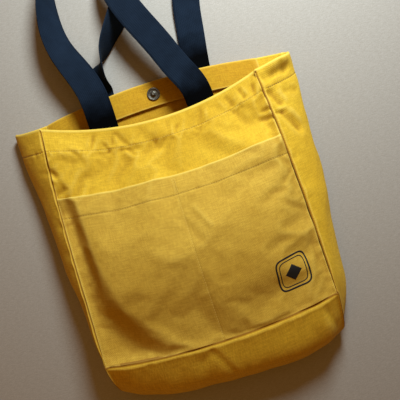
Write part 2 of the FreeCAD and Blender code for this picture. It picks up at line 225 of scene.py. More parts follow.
BACK_HANDLE_ROUTE = [
    (-68.6, 175, 3.2, -2),
    (-67, 182, 5.2, -9),
    (-63.6, 191, 10.4, -27),
    (-56, 204, 17.8, -61),
    (-46, 220, 20.4, -92),
    (-33, 238, 19.8, -106),
    (-14, 261, 17.8, -118),
    (8, 291, 17, -122),
    (27, 326, 19.4, -110),
    (38, 366, 20.4, -96),
    (58, 398, 20.4, -90),
    (90, 403, 20.4, -90),
    (112, 378, 20.4, -86),
    (112, 340, 18.6, -62),
    (99, 300, 8.6, -20),
    (85, 262, 4.6, -6),
    (78, 222, 3.5, -3),
    (73, 190, 3, 0),
]


# ---- small maths on arrays


def mix(a, b, t):
    return a + (b - a) * t


def ease(t):
    """0 below 0, 1 above 1, and a smooth step between."""
    t = np.clip(t, 0, 1)
    return t * t * (3 - 2 * t)


def bump(distance, width):
    """1 at distance 0, falling smoothly to nothing at about twice the width."""
    return np.exp(-((distance / width) ** 2))


def points(x, y, z):
    """Stack three arrays, or numbers, as points."""
    x, y, z = np.broadcast_arrays(x, y, z)
    return np.stack([x, y, z], axis=-1).astype(float)


def unit(vectors):
    return vectors / np.linalg.norm(vectors, axis=-1, keepdims=True)


def run_along(line):
    """Distance along a line of points, from its first to each."""
    return np.concatenate([[0], np.cumsum(np.linalg.norm(np.diff(line, axis=0), axis=1))])


def ripple(x, y, seed, scale):
    """Soft random relief between about -1 and 1: crossing sine waves of about one wavelength."""
    rng = np.random.default_rng(seed)
    total = np.zeros(np.broadcast(x, y).shape)
    for _ in range(9):
        turn = rng.uniform(0, math.tau)
        size = scale * rng.uniform(0.7, 1.6)
        phase = rng.uniform(0, math.tau)
        total += np.sin((x * math.cos(turn) + y * math.sin(turn)) * math.tau / size + phase)
    return total / 4.0


def creases(x, y, table):
    """Soft straight folds that fade at their ends, from rows of two points, a width and a height."""
    total = np.zeros(np.broadcast(x, y).shape)
    for x0, y0, x1, y1, width, height in table:
        length = math.hypot(x1 - x0, y1 - y0)
        ux, uy = (x1 - x0) / length, (y1 - y0) / length
        along = ((x - x0) * ux + (y - y0) * uy) / length
        across = (x - x0) * -uy + (y - y0) * ux
        total += height * bump(across, width) * ease(along / 0.3) * ease((1 - along) / 0.3)
    return total


def steps_across(length, lines=(), fine=0.4, coarse=2.3, growth=0.2):
    """Distances from 0 to length, closely spaced near both ends and near lines of stitching."""
    places = [0.0]
    while places[-1] < length:
        nearest = min(abs(places[-1] - line) for line in (0.0, length, *lines))
        places.append(places[-1] + min(coarse, fine + growth * nearest))
    return np.array(places) * (length / places[-1])


# ---- shape of the bag


def front_face(u, v):
    """The bag's front: u from -1, left seam, to 1, right seam; v from 0, base seam, to 1, rim."""
    half = mix(HALF_BASE, HALF_RIM, v**3)
    sag = mix(SEAM_SAG, RIM_SAG, ease((v - 0.7) / 0.3))
    y = mix(FRONT_BASE_Y, FRONT_RIM_Y, v) - FRONT_SKEW * u * v - sag * (1 - u * u)
    seam_z = mix(SEAM_Z_BASE, SEAM_Z_RIM, v)
    swell = MIDDLE_SWELL * np.sin(math.pi * np.minimum(v / RIM_FLAT_FROM, 1.0)) ** 2
    middle_z = mix(MIDDLE_Z_BASE, MIDDLE_Z_RIM, ease((v - 0.25) / 0.75)) + swell
    return points(FRONT_SHIFT + u * half, y, mix(middle_z, seam_z, u**4))


def quartic(controls, t):
    """Point t along the Bezier curve of five control points."""
    total = 0
    for i, control in enumerate(controls):
        weight = math.comb(4, i) * t**i * (1 - t) ** (4 - i)
        total = total + control * np.asarray(weight)[..., None]
    return total


def base_controls(u):
    """Control points of the base's section, from the front seam to the back seam."""
    start = front_face(u, 0 * u)
    end_x = BACK_HALF * u
    out = BASE_OUT + BASE_ROUND * (1 - u**4) + BASE_SKEW * u
    knee = (16 * out + start[..., 1] + BACK_SEAM_Y + 4 * BASE_FLOOR_Y + 4 * BASE_TURN_Y) / 6
    x = [mix(start[..., 0], end_x, i / 4) for i in range(5)]
    return [
        start,
        points(x[1], BASE_TURN_Y, mix(*BASE_KNEE_Z, u * u)),
        points(x[2], -knee, 3),
        points(x[3], BASE_FLOOR_Y, 0),
        points(end_x, BACK_SEAM_Y, 0),
    ]


def base_face(u, b):
    """The base: b from 0, front seam, to 1, back seam."""
    return quartic(base_controls(u), b)


def gusset_out(side, v):
    """How far a gusset stands out sideways."""
    low, half_way, rim = GUSSET_OUT[side]
    upper = mix(half_way, rim, ease((v - GUSSET_KNEE) / (1 - GUSSET_KNEE)))
    lower = ease(v / 0.14) * mix(low, half_way, ease(v / GUSSET_KNEE))
    return np.where(v < GUSSET_KNEE, lower, upper)


def back_rim_y(x):
    return BACK_RIM_Y - BACK_RIM_BOW * (x / BACK_HALF) ** 2


def gusset_face(side, g, v):
    """A gusset: g from 0, front seam, to 1, back seam; v from 0, base, to 1, rim."""
    sign = SIGN[side]
    front = front_face(sign + 0 * v, v)
    back = points(sign * BACK_HALF, mix(BACK_SEAM_Y, back_rim_y(BACK_HALF), v), 0)
    corner = [c.reshape(3) for c in base_controls(np.array(sign))]
    out = gusset_out(side, v)
    curl = 1 - ease(v / 0.3)
    controls = [front]
    for i, bulge in GUSSET_BULGE.items():
        straight = mix(front, back, i / 4)
        dip = corner[i] - mix(corner[0], corner[4], i / 4)
        lift = GUSSET_RIM_LIFT * ease((v - 0.6) / 0.4) if i == 2 else 0.0
        controls.append(
            points(
                straight[..., 0] + sign * out * bulge,
                straight[..., 1] + dip[1] * curl + lift,
                np.maximum(0.0, straight[..., 2] + dip[2] * mix(1.0, 0.75, v)),
            )
        )
    controls.append(back)
    return quartic(controls, g)


# ---- folds, from a cloth simulation


def settle(grid, held):
    """Simulate a sheet of cloth cut a little larger than its place, so that it buckles into folds.
    held is how firmly each point is held to its place, from 0 to 1. Returns the settled points."""
    rows, columns = grid.shape[:2]
    sheet = link_mesh("sheet", grid.reshape(-1, 3), grid_faces(rows, columns))
    group = sheet.vertex_groups.new(name="held")
    for index, weight in enumerate(held.ravel()):
        group.add([index], float(weight), "REPLACE")
    cloth = sheet.modifiers.new("cloth", "CLOTH")
    cloth.settings.vertex_group_mass = "held"
    cloth.settings.pin_stiffness = 5.0
    cloth.settings.quality = 6
    cloth.settings.tension_stiffness = cloth.settings.compression_stiffness = 20.0
    cloth.settings.shear_stiffness = 10.0
    cloth.settings.bending_stiffness = FOLD_BENDING
    cloth.settings.shrink_min = -FOLD_SLACK
    cloth.settings.effector_weights.gravity = 0.0
    cloth.collision_settings.use_collision = False
    cloth.point_cache.frame_start, cloth.point_cache.frame_end = 1, FOLD_FRAMES
    for frame_number in range(1, FOLD_FRAMES + 1):
        bpy.context.scene.frame_set(frame_number)
    bake(sheet)
    settled = np.zeros(rows * columns * 3, dtype=np.float32)
    sheet.data.vertices.foreach_get("co", settled)
    mesh = sheet.data
    bpy.data.objects.remove(sheet)
    bpy.data.meshes.remove(mesh)
    bpy.context.scene.frame_set(1)
    return settled.reshape(rows, columns, 3) / MM


def simulated_heights():
    """Heights of the front's folds over its shape, on a grid of FOLD_ROWS by FOLD_COLUMNS."""
    u, v = np.meshgrid(np.linspace(-1, 1, FOLD_COLUMNS), np.linspace(0, 1, FOLD_ROWS))
    grid, out = raised(front_face, front_relief, 1.0, u, v)
    from_end = np.minimum(v, 1 - v) * LENGTH
    held = np.where(np.minimum(side_distance(u), from_end) < FOLD_CELL / 2, 1.0, FOLD_HOLD)
    heights = ((settle(grid, held) - grid) * out).sum(-1)
    return heights - heights.mean()


def read_folds(heights, u, v):
    """Heights at any place, by a cubic B-spline."""
    x = np.clip((u + 1) / 2, 0, 1) * (FOLD_COLUMNS - 1)
    y = np.clip(v, 0, 1) * (FOLD_ROWS - 1)
    column, row = np.floor(x).astype(int), np.floor(y).astype(int)
    total = np.zeros(np.broadcast(u, v).shape)
    for j, weight_y in enumerate(spline_weights(y - row)):
        for i, weight_x in enumerate(spline_weights(x - column)):
            near = np.clip(row + j - 1, 0, FOLD_ROWS - 1), np.clip(column + i - 1, 0, FOLD_COLUMNS - 1)
            total += weight_x * weight_y * heights[near]
    return total


def spline_weights(t):
    """Weights of four neighbours in a cubic B-spline, t of the way from the second to the third."""
    second, third = 3 * t**3 - 6 * t**2 + 4, -3 * t**3 + 3 * t**2 + 3 * t + 1
    return (1 - t) ** 3 / 6, second / 6, third / 6, t**3 / 6


# ---- relief: seams, puckers and folds


def gathers(along, distance, span, seed, height, wave, reach):
    """Uneven soft dents across a line of stitching: along runs with the line, distance away from it."""
    rng = np.random.default_rng(seed)
    total = np.zeros(np.broadcast(along, distance).shape)
    for start in np.arange(-span, span, wave):
        centre = start + wave * rng.uniform(0, 1)
        width = wave * rng.uniform(0.16, 0.42)
        length = reach * rng.uniform(0.5, 1.3)
        lean = rng.uniform(-0.7, 0.7)
        strength = height * rng.uniform(-1.0, 0.6)
        total += strength * bump(along - centre - lean * distance, width) * bump(distance, length)
    return total


def pinch(distance, end, lean):
    """Shift of the cloth at a seam: distance from the seam, end from the seam's nearer end, and lean, the
    direction out of the seam, the same for both of its panels, so that they stay joined."""
    groove = PINCH_DEPTH * bump(distance, PINCH_WIDTH)
    lip = PINCH_LIP * bump(distance - LIP_AT, PINCH_WIDTH)
    return ((lip - groove) * ease(end / PINCH_FADE))[..., None] * np.array(lean, float)


def hem_line(u):
    """Distance of the hem's stitching from the front's rim."""
    return mix(HEM_LINE["left"], HEM_LINE["right"], (1 + u) / 2)


def front_distances(u, v):
    """Distances from the left seam, right seam, base seam and rim."""
    half = mix(HALF_BASE, HALF_RIM, v**3)
    return (1 + u) * half, (1 - u) * half, v * LENGTH, (1 - v) * LENGTH


def left_sink(left, base):
    """The front sinks between its left seam and its filled middle, up to the pocket's edge."""
    middle = FILLED_NEAR + FILLED_SPREAD * np.exp(-base / FILLED_FADE)
    empty = 1 - ease((left / middle - 0.3) / 0.7)
    from_seams = (1 - np.exp(-left / 5)) * (1 - np.exp(-base / 5))
    under_pocket = ease((POCKET_TOP + 14 - base) / 34)
    return -mix(SINK_BASE, SINK_RIM, base / LENGTH) * empty * from_seams * under_pocket


def upper_front(across, right, rim):
    """The rim rolls down, the cloth below it swells, and a valley runs beside the right seam."""
    roll = RIM_SWELL * ease(rim / RIM_SOFT) - RIM_DROP
    flatter = 2.5 * ease((rim - RIM_SOFT) / 90)
    valley = 1.6 * bump(right - 9, 7) * ease((rim - 20) / 30)
    left_swell = 3.5 * bump(across + 126, 32) * bump(rim - 50, 32)
    return roll - flatter - valley + left_swell


def front_gathers(across, left, right, base, rim, below_hem):
    """Dents in the hem, puckers under its stitching and along both side seams."""
    hem = gathers(across, below_hem + 12, SPAN_ACROSS, seed=8, height=1.9, wave=15.0, reach=14.0)
    puckers = gathers(across, below_hem - 4, SPAN_ACROSS, seed=9, height=1.6, wave=8.0, reach=6.5)
    left_seam = gathers(base, left - 3, SPAN_ALONG, seed=10, height=1.4, wave=17.0, reach=11.0)
    right_seam = gathers(base, right - 3, SPAN_ALONG, seed=11, height=1.0, wave=15.0, reach=11.0)
    return hem * ease(rim / 8) + puckers + left_seam + right_seam


def front_relief(u, v):
    """Height of the front above its smooth shape."""
    x, y, _ = np.moveaxis(front_face(u, v), -1, 0)
    left, right, base, rim = front_distances(u, v)
    across, below_hem = (left - right) / 2, rim - hem_line(u)
    h = left_sink(left, base) + upper_front(across, right, rim)
    h += (1.2 * ripple(x, y, 3, 105) + 0.5 * ripple(x, y, 4, 44)) * ease((rim - 2) / 26)
    h += 0.12 * ripple(x, y, 5, 19)
    h += front_gathers(across, left, right, base, rim, below_hem) - STITCH_DITCH * bump(below_hem, 1.0)
    h += creases(across, base, FRONT_CREASES)
    return h * ease(left / 3) * ease(right / 3) * ease(base / 3)


def seam_end(v):
    """Distance along a side seam from its nearer end. The seam is a little open at the rim."""
    return np.minimum(v * LENGTH, (1 - v) * LENGTH + 2.0)


def front_pinch(u, v):
    """Shift of the front's cloth at its two side seams and its base seam."""
    left, right, base, _ = front_distances(u, v)
    end = seam_end(v)
    sides = pinch(left, end, SIDE_LEAN["left"]) + pinch(right, end, SIDE_LEAN["right"])
    return sides + pinch(base, np.minimum(left, right), BASE_LEAN)


def gusset_relief(side, g, v):
    """Height of a gusset above its smooth shape. The right one is crumpled, and its hem turns away."""
    front, back = g * GUSSET_GIRTH, (1 - g) * GUSSET_GIRTH
    base, rim = v * LENGTH, (1 - v) * LENGTH
    below_hem = rim - HEM_LINE[side]
    seed = 21 if side == "left" else 22
    h = (0.8 * ripple(front, base, seed, 62) + 0.3 * ripple(front, base, 23, 27)) * ease((rim - 2) / 20)
    h += gathers(front, below_hem - 3, SPAN_GIRTH, seed=24, height=1.1, wave=9.0, reach=6.0)
    h += gathers(base, front - 4, SPAN_ALONG, seed=25, height=1.0, wave=19.0, reach=9.0)
    h -= STITCH_DITCH * bump(below_hem, 1.0)
    if side == "right":
        turned = 1 - ease(rim / (HEM_LINE[side] + 3))
        h += GUSSET_RIM_TILT * turned * ease(front / 22) * ease((back - 56) / 34)
        h += gathers(front, rim - 14, SPAN_GIRTH, seed=26, height=2.6, wave=15.0, reach=13.0)
        h += creases(front, base, GUSSET_CREASES)
    return h * ease(v / 0.08) * ease(back / 6.0) * ease(front / 3)


def side_distance(u):
    """Distance from the nearer side seam, in flat cloth."""
    return (1 - np.abs(u)) * HALF_BASE


def flat_front(u, v):
    """The front's coordinates in flat cloth."""
    return np.stack([u * HALF_BASE, v * LENGTH], -1)


def base_relief(u, b):
    """Height of the base above its smooth shape, with a swell below the front seam."""
    x = base_face(u, b)[..., 0]
    front, side = b * BASE_GIRTH, side_distance(u)
    h = (1.1 * ripple(x, front, 31, 90) + 0.4 * ripple(x, front, 32, 38)) * ease((1 - b) / 0.4)
    h += gathers(x, front - 3, SPAN_ACROSS, seed=33, height=0.6, wave=24.0, reach=9.0)
    h += mix(3.0, 9.0, ease((u + 0.9) / 1.5)) * bump(front - 27, 17) * ease(side / 30)
    h += creases(x - FRONT_SHIFT, front, BASE_CREASES)
    return h * ease((1 - b) / 0.15) * ease(front / 3) * ease(side / 3)


def raised(face, relief, outward, a, b, extra=0.0):
    """Points of a surface pushed out along its normal by its relief, and normals that point out."""
    step = 2e-3
    normal = unit(np.cross(face(a + step, b) - face(a - step, b), face(a, b + step) - face(a, b - step)))
    return face(a, b) + normal * (outward * (relief(a, b) + extra))[..., None], normal * outward


# ---- meshes


def grid_faces(rows, columns, closed=False, capped=True):
    """Quads of a grid of points whose rows go up and columns go right, seen from outside. closed joins
    the last column to the first, and capped closes both ends of such a tube."""
    wrap = columns if closed else columns - 1
    i, j = np.meshgrid(np.arange(rows - 1), np.arange(wrap), indexing="ij")
    k = (j + 1) % columns
    corners = (i * columns + j, i * columns + k, (i + 1) * columns + k, (i + 1) * columns + j)
    faces = np.stack(corners, -1).reshape(-1, 4).tolist()
    if closed and capped:
        faces += [list(range(columns))[::-1], list(range((rows - 1) * columns, rows * columns))]
    return faces


def link(name, data):
    """A new object in the scene."""
    piece = bpy.data.objects.new(name, data)
    bpy.context.scene.collection.objects.link(piece)
    return piece


def link_mesh(name, place, faces):
    """A new object of points in millimetres."""
    mesh = bpy.data.meshes.new(name)
    mesh.from_pydata((np.asarray(place, float) * MM).tolist(), [], faces)
    mesh.polygons.foreach_set("use_smooth", [True] * len(mesh.polygons))
    return link(name, mesh)


def grid_piece(name, grid, flat, material, thick=CANVAS, closed=False, edges=None):
    """A mesh through a grid of points as grid_faces takes them, given thickness. Two UV maps hold the
    cloth's flat coordinates and, as edges, the distances from the nearest seam and the folded edge."""
    rows, columns = grid.shape[:2]
    piece = link_mesh(name, grid.reshape(-1, 3), grid_faces(rows, columns, closed, not thick))
    mesh = piece.data
    add_uv(mesh, "flat", flat)
    if edges is not None:
        add_uv(mesh, "edges", edges)
    mesh.materials.append(material)
    if thick:
        solid = piece.modifiers.new("thickness", "SOLIDIFY")
        solid.thickness = thick * MM
        solid.offset = -1
        solid.use_rim = True
        bake(piece)
    return piece


def add_uv(mesh, name, flat):
    """A UV map, in metres, from one pair of millimetre coordinates for each point."""
    layer = mesh.uv_layers.new(name=name)
    coordinates = flat.reshape(-1, 2) * MM
    corner = np.zeros(len(mesh.loops), dtype=int)
    mesh.loops.foreach_get("vertex_index", corner)
    layer.data.foreach_set("uv", coordinates[corner].astype(np.float32).ravel())


def bake(piece):
    """Turn a piece's modifiers into mesh."""
    bpy.context.view_layer.update()
    evaluated = piece.evaluated_get(bpy.context.evaluated_depsgraph_get())
    mesh = bpy.data.meshes.new_from_object(evaluated)
    piece.modifiers.clear()
    old, piece.data = piece.data, mesh
    bpy.data.meshes.remove(old)
    mesh.name = piece.name
    return piece


def rolled_hem(outer, flat, inward, radius=RIM_RADIUS, depth=HEM):
    """Carry a panel's grid over its rim, the last row, and back down inside as its hem or facing."""
    rim, before = outer[-1], outer[-2]
    along = unit(rim - before)
    normal = inward[-1]
    rows, coordinates = [outer], [flat]
    length = flat[-1, :, 1]
    for angle in np.linspace(0, math.pi, 9)[1:-1]:
        shift = along * (radius * math.sin(angle)) + normal * (radius * (1 - math.cos(angle)))
        rows.append((rim + shift)[None])
        coordinates.append(np.stack([flat[-1, :, 0], length + radius * angle], -1)[None])
    inside = [i for i in range(len(outer) - 1, -1, -1) if length[0] - flat[i, 0, 1] <= depth]
    for i in inside:
        rows.append((outer[i] + inward[i] * (2 * radius))[None])
        turned = 2 * length - flat[i, :, 1] + math.pi * radius
        coordinates.append(np.stack([flat[i, :, 0], turned], -1)[None])
    return np.concatenate(rows), np.concatenate(coordinates)


def finish_piece(piece, slot_name, *nodes):
    if nodes:
        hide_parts(*nodes)
    return piece


# ---- materials


class Nodes:
    """Short way to write a material's nodes."""

    def __init__(self, name):
        self.material = bpy.data.materials.new(name)
        self.material.use_nodes = True
        self.tree = self.material.node_tree
        self.shader = self.tree.nodes["Principled BSDF"]

    def add(self, kind, inputs=None, **settings):
        node = self.tree.nodes.new("ShaderNode" + kind)
        for key, value in settings.items():
            setattr(node, key, value)
        for key, value in (inputs or {}).items():
            self.put(node.inputs[key], value)
        return node

    def put(self, socket, value):
        if isinstance(value, bpy.types.NodeSocket):
            self.tree.links.new(value, socket)
        else:
            socket.default_value = value

    def math(self, operation, a, b=0.0):
        return self.add("Math", {0: a, 1: b}, operation=operation).outputs[0]

    def noise(self, vector, scale, detail=4.0, rough=0.55):
        inputs = {"Vector": vector, "Scale": scale, "Detail": detail, "Roughness": rough}
        return self.add("TexNoise", inputs).outputs["Fac"]

    def range(self, value, low, high, to_low, to_high):
        inputs = {"Value": value, "From Min": low, "From Max": high, "To Min": to_low, "To Max": to_high}
        return self.add("MapRange", inputs).outputs["Result"]

    def bump(self, height, distance, strength=1.0, before=None):
        node = self.add("Bump", {"Height": height, "Distance": distance, "Strength": strength})
        if before is not None:
            self.put(node.inputs["Normal"], before)
        return node.outputs["Normal"]

    def stretched_noise(self, vector, scale, detail=3.0, rough=0.55, turn=(0.0, 0.0, 0.0)):
        inputs = {"Vector": vector, "Rotation": turn, "Scale": (*scale, 1.0)}
        return self.noise(self.add("Mapping", inputs).outputs[0], 1.0, detail, rough)

    def weighted(self, a, share_a, b, share_b):
        return self.math("ADD", self.math("MULTIPLY", a, share_a), self.math("MULTIPLY", b, share_b))

    def tint(self, tone, colour, value, low, high, at_low, at_high):
        """Blend a colour into a tone, by as much as a value says."""
        node = self.add("Mix", data_type="RGBA")
        self.put(node.inputs["Factor"], self.range(value, low, high, at_low, at_high))
        self.put(node.inputs["A"], tone)
        self.put(node.inputs["B"], colour)
        return node.outputs["Result"]

    def uv(self, name="flat"):
        """A UV map's vector, and its two coordinates, in metres."""
        vector = self.add("UVMap", uv_map=name).outputs["UV"]
        split = self.add("SeparateXYZ", {"Vector": vector})
        return vector, split.outputs["X"], split.outputs["Y"]

    def place(self):
        return self.add("TexCoord").outputs["Object"]

    def pointiness(self):
        """Above 0.5 on a ridge and below it in a hollow."""
        return self.add("NewGeometry").outputs["Pointiness"]

    def surface(self, **inputs):
        """Give the shader its inputs, written with _ for a space, and return the material."""
        for key, value in inputs.items():
            self.put(self.shader.inputs[key.replace("_", " ")], value)
        return self.material


def stripes(n, value, pitch):
    """A smooth wave from 0 to 1 along a coordinate in metres."""
    return n.range(n.math("SINE", n.math("MULTIPLY", value, math.tau / pitch)), -1, 1, 0, 1)


def canvas_material(name, colour, shade, deep, seed):
    """Heavy cotton twill: diagonal ribs of twisted yarn, uneven yarns both ways, uneven dye, painted
    highlights on ridges and folded edges, and painted shade in hollows and seams.
    """
    n = Nodes(name)
    vector, across, along = n.uv()
    _, from_seam, from_fold = n.uv("edges")
    wander = n.range(n.noise(vector, 140.0, 3.0), 0, 1, -0.0016, 0.0016)
    rib = n.math("ADD", n.math("ADD", across, n.math("MULTIPLY", along, 0.7)), wander)
    weave = n.weighted(stripes(n, rib, TWILL_PITCH), 0.65, stripes(n, along, YARN_PITCH), 0.35)
    weft = n.stretched_noise(vector, (90.0, 620.0))
    warp = n.stretched_noise(vector, (620.0, 100.0))
    slub = n.weighted(weft, 0.55, warp, 0.45)
    fuzz = n.noise(vector, 1500.0, 3.0, 0.7)
    patches = n.noise(n.place(), 9.0 + seed, 4.0, 0.6)
    cloudy = n.noise(n.place(), 34.0, 5.0, 0.65)
    painted_light_curvature = n.pointiness()
    tone = n.tint(colour, shade, patches, 0.3, 0.72, 0, 1)
    tone = n.tint(tone, shade, cloudy, 0.35, 0.75, 0, 0.35)
    tone = n.tint(tone, deep, weave, 0.1, 0.9, 0.5, 0)
    tone = n.tint(tone, deep, slub, 0.38, 0.62, 0.5, 0)
    # Painted light from the surface's curvature: a highlight on ridges and shade in hollows
    tone = n.tint(tone, PAINTED_RIDGE_HIGHLIGHT, painted_light_curvature, 0.504, 0.55, 0, 0.5)
    tone = n.tint(tone, PAINTED_VALLEY_SHADE, painted_light_curvature, 0.496, 0.43, 0, 0.85)
    # Painted highlight along folded edges
    tone = n.tint(tone, PAINTED_FOLD_HIGHLIGHT, from_fold, 0.0006, 0.0018, 0.4, 0)
    # Painted shade in the seams
    tone = n.tint(tone, PAINTED_SEAM_SHADE, from_seam, 0.0005, 0.0013, 0.8, 0)
    soft = n.bump(n.noise(vector, 60.0, 3.0), 0.0012, 0.5)
    yarn = n.bump(n.math("ADD", weave, n.math("MULTIPLY", slub, 1.2)), 0.0004, 0.5, soft)
    return n.surface(
        Base_Color=tone,
        Roughness=n.range(fuzz, 0.2, 0.8, 0.72, 0.92),
        Specular_IOR_Level=0.22,
        Sheen_Weight=0.06,
        Sheen_Roughness=0.5,
        Sheen_Tint=(1.0, 0.8, 0.3, 1),
        Normal=n.bump(fuzz, 0.00012, 0.5, yarn),
    )


def webbing_material():
    """Flat cotton webbing in a fine chevron twill, faded by hand, with painted shade that makes it nearly
    black at its sewn ends.
    """
    n = Nodes("webbing_navy")
    vector, across, along = n.uv()
    from_end = n.uv("ends")[1]
    zigzag = n.math("MULTIPLY", n.math("PINGPONG", across, COLUMN_PITCH), 0.8)
    rib = stripes(n, n.math("ADD", along, zigzag), CHEVRON_PITCH)
    weave = n.weighted(rib, 0.6, stripes(n, across, COLUMN_PITCH), 0.4)
    fuzz = n.noise(vector, 1100.0, 3.0, 0.7)
    faded = n.noise(vector, 45.0, 4.0, 0.6)
    # Painted shade: the webbing turns nearly black towards its sewn ends, where the straps go into the
    # bag
    painted_end_shade = n.math("ADD", from_end, n.range(faded, 0.3, 0.7, -0.005, 0.005))
    tone = n.tint((0.0050, 0.0090, 0.017, 1), (0.0085, 0.0155, 0.029, 1), faded, 0.3, 0.7, 0, 1)
    tone = n.tint(tone, (0.015, 0.026, 0.046, 1), weave, 0.25, 0.95, 0, 0.5)
    tone = n.tint(tone, (0.026, 0.038, 0.058, 1), fuzz, 0.58, 0.8, 0, 0.3)
    tone = n.tint(tone, (0.0004, 0.0004, 0.0005, 1), painted_end_shade, 0.018, 0.056, 0.98, 0)
    return n.surface(
        Base_Color=tone,
        Roughness=n.range(fuzz, 0.2, 0.8, 0.72, 0.95),
        Specular_IOR_Level=0.03,
        Sheen_Weight=0.01,
        Sheen_Roughness=0.45,
        Normal=n.bump(fuzz, 0.00015, 0.5, n.bump(weave, 0.00045, 0.8)),
    )


def metal_material(name, colour, dark, rough):
    """Antique metal: mottled, darker in its hollows, with small scuffs."""
    n = Nodes(name)
    tarnish = n.noise(n.place(), 420.0, 5.0, 0.65)
    scuffs = n.noise(n.place(), 2600.0, 2.0)
    tone = n.tint(colour, dark, tarnish, 0.35, 0.7, 0, 0.8)
    return n.surface(
        Base_Color=n.tint(tone, dark, n.pointiness(), 0.5, 0.42, 0, 0.7),
        Metallic=1.0,
        Roughness=n.range(scuffs, 0.3, 0.7, rough, rough + 0.18),
        Normal=n.bump(scuffs, 0.00003, 0.6),
    )


def thread_material(name, colour):
    """Twisted sewing thread."""
    n = Nodes(name)
    twist = n.noise(n.place(), 2400.0, 2.0)
    darker = tuple(c * 0.6 for c in colour[:3]) + (1,)
    return n.surface(
        Base_Color=n.tint(colour, darker, twist, 0.35, 0.65, 0, 1),
        Roughness=n.range(twist, 0.3, 0.7, 0.5, 0.72),
        Sheen_Weight=0.15,
        Normal=n.bump(twist, 0.0001, 0.8),
    )


def ink_material():
    """Screen print on cloth: matt, and worn through in specks."""
    n = Nodes("print_ink")
    specks = n.noise(n.uv()[0], 1300.0, 3.0, 0.6)
    return n.surface(
        Base_Color=n.tint((0.004, 0.004, 0.005, 1), (0.12, 0.08, 0.02, 1), specks, 0.62, 0.78, 0, 0.55),
        Roughness=n.range(specks, 0.3, 0.7, 0.6, 0.8),
        Normal=n.bump(specks, 0.0001, 0.6),
    )


def paper_material():
    """Plain pale paper under the bag, with faint fibres that run across the view."""
    n = Nodes("floor_paper")
    fibres = n.stretched_noise(n.place(), (160.0, 620.0), 4.0, 0.6, GRAIN_TURN)
    specks = n.noise(n.place(), 700.0, 3.0, 0.6)
    tone = n.tint((0.445, 0.41, 0.368, 1), (0.36, 0.326, 0.282, 1), fibres, 0.3, 0.7, 0, 1)
    return n.surface(
        Base_Color=n.tint(tone, (0.32, 0.287, 0.24, 1), specks, 0.44, 0.62, 0, 0.6),
        Roughness=0.85,
        Normal=n.bump(fibres, 0.0004, 0.35),
    )


CANVASES = {
    name: canvas_material(f"canvas_{name}", *tones)
    for name, *tones in (
        ("yellow", (0.92, 0.62, 0.046, 1), (0.84, 0.52, 0.028, 1), (0.44, 0.22, 0.006, 1), 0),
        # Darker than the yellow: painted shade for the inside of the bag, together with the duller back
        # face of the twill
        ("inside", (0.76, 0.44, 0.020, 1), (0.63, 0.34, 0.012, 1), (0.36, 0.16, 0.004, 1), 5),
        ("pocket", (0.78, 0.52, 0.072, 1), (0.66, 0.41, 0.045, 1), (0.38, 0.19, 0.012, 1), 3),
    )
}
NAVY = webbing_material()
NICKEL = metal_material("snap_nickel", (0.20, 0.185, 0.15, 1), (0.045, 0.04, 0.032, 1), 0.28)
FERRITE = metal_material("snap_ferrite", (0.10, 0.10, 0.105, 1), (0.04, 0.04, 0.042, 1), 0.55)
THREAD = thread_material("thread_yellow", (0.90, 0.66, 0.10, 1))
# The same yellow thread made darker: painted shade for the gussets' stitches
SHADED_THREAD = thread_material("thread_yellow_painted_shade", (0.30, 0.13, 0.006, 1))
INK = ink_material()


# ---- sewn pieces


def marks(flat, edge_at, seams):
    """Distances of each point of a panel and its hem from the nearest seam and the folded edge."""
    nearest = np.minimum.reduce(np.broadcast_arrays(*seams))
    hidden = np.full((len(flat) - len(nearest), nearest.shape[1]), FAR)
    return np.stack([np.concatenate([nearest, hidden]), np.abs(flat[..., 1] - edge_at)], -1)


def sewn_piece(name, nodes, material, grid, flat, edge_at, seams, thick=CANVAS):
    """A panel of cloth. seams holds its points' distances from each of its seams."""
    piece = grid_piece(name, grid, flat, CANVASES[material], thick, edges=marks(flat, edge_at, seams))
    return finish_piece(piece, "canvas", *nodes)


def front_panel():
    u = steps_across(2 * HALF_BASE) / HALF_BASE - 1
    lines = [LENGTH - hem_line(place) for place in (-1, 0, 1)] + [POCKET_TOP]
    v = steps_across(LENGTH, lines) / LENGTH
    uu, vv = np.meshgrid(u, v)
    grid, out = front_side(uu, vv, -pocket_room(uu, vv))
    grid, flat = rolled_hem(grid, flat_front(uu, vv), -out)
    seams = side_distance(uu), vv * LENGTH
    nodes = "front_panel", "facing_front"
    return sewn_piece("front_canvas", nodes, "yellow", grid, flat, LENGTH, seams)


# Simulated once, and read by the front panel, the pocket, their stitches and the badge
FRONT_FOLDS = simulated_heights()


def folded_front(u, v):
    """The front's relief with its simulated folds, which leave the stiff rim alone. Over the hidden half
    of the snap it stays high enough for the other half's post."""
    left, rim = (1 + u) * HALF_BASE, (1 - v) * LENGTH
    free = ease(rim / 34) * mix(0.35, 1.0, ease(left / 45)) * mix(0.6, 1.0, ease(v / 0.25))
    h = front_relief(u, v) + FOLD_SHARE * read_folds(FRONT_FOLDS, u, v) * free
    over_snap = bump(np.hypot(u * HALF_RIM, rim - SNAP_BELOW_RIM), SNAP_REACH)
    return mix(h, np.maximum(h, SNAP_CLEARANCE), over_snap)


def pocket_room(u, v):
    """How far the front sinks under the pocket. It rises again at the pocket's edge."""
    across = 1 - (2 * np.abs(u) - 1) ** 4
    gape = 1.8 + 2.2 * across * ease((v - 0.45) / 0.25)
    return gape * (1 - ease(((v - POCKET_SHARE) * LENGTH + 8) / 8))


